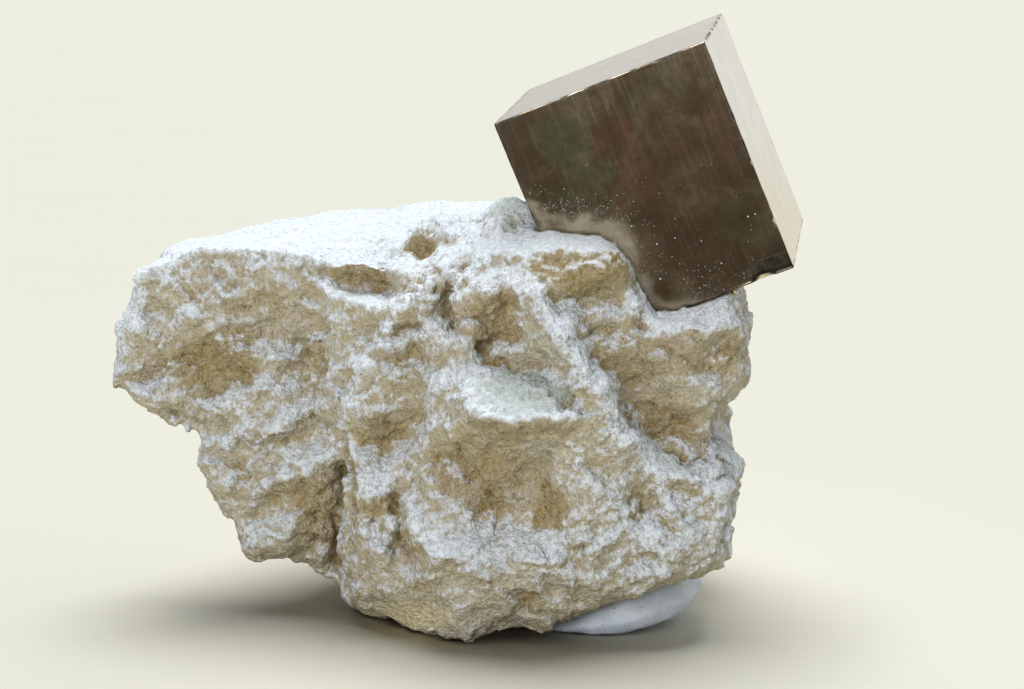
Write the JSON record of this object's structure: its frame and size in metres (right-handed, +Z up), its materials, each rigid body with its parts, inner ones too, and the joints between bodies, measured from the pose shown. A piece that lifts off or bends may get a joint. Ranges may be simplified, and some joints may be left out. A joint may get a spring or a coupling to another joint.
{
  "type": "pyrite specimen",
  "caption": "Sharp pyrite crystal set in a rough piece of pale marl that leans on a pad of mineral putty.",
  "frame": {"origin": "middle of the specimen's bounding box, on the surface that it stands on", "axes": "+Z up, +X to the right along the specimen's longest side, +Y away from the side with the crystal's face"},
  "size_m": [0.061, 0.0416, 0.0521],
  "materials": {
    "marl": "rough broken surface with a pale powdery coating",
    "pyrite": "mirror-like crystal faces with a thin tarnish",
    "putty": "matt, with tiny dark specks"
  },
  "bodies": {
    "root": {"marl_matrix": "marl", "pyrite_crystal": "pyrite", "putty_pad": "putty"}
  },
  "joints": []
}
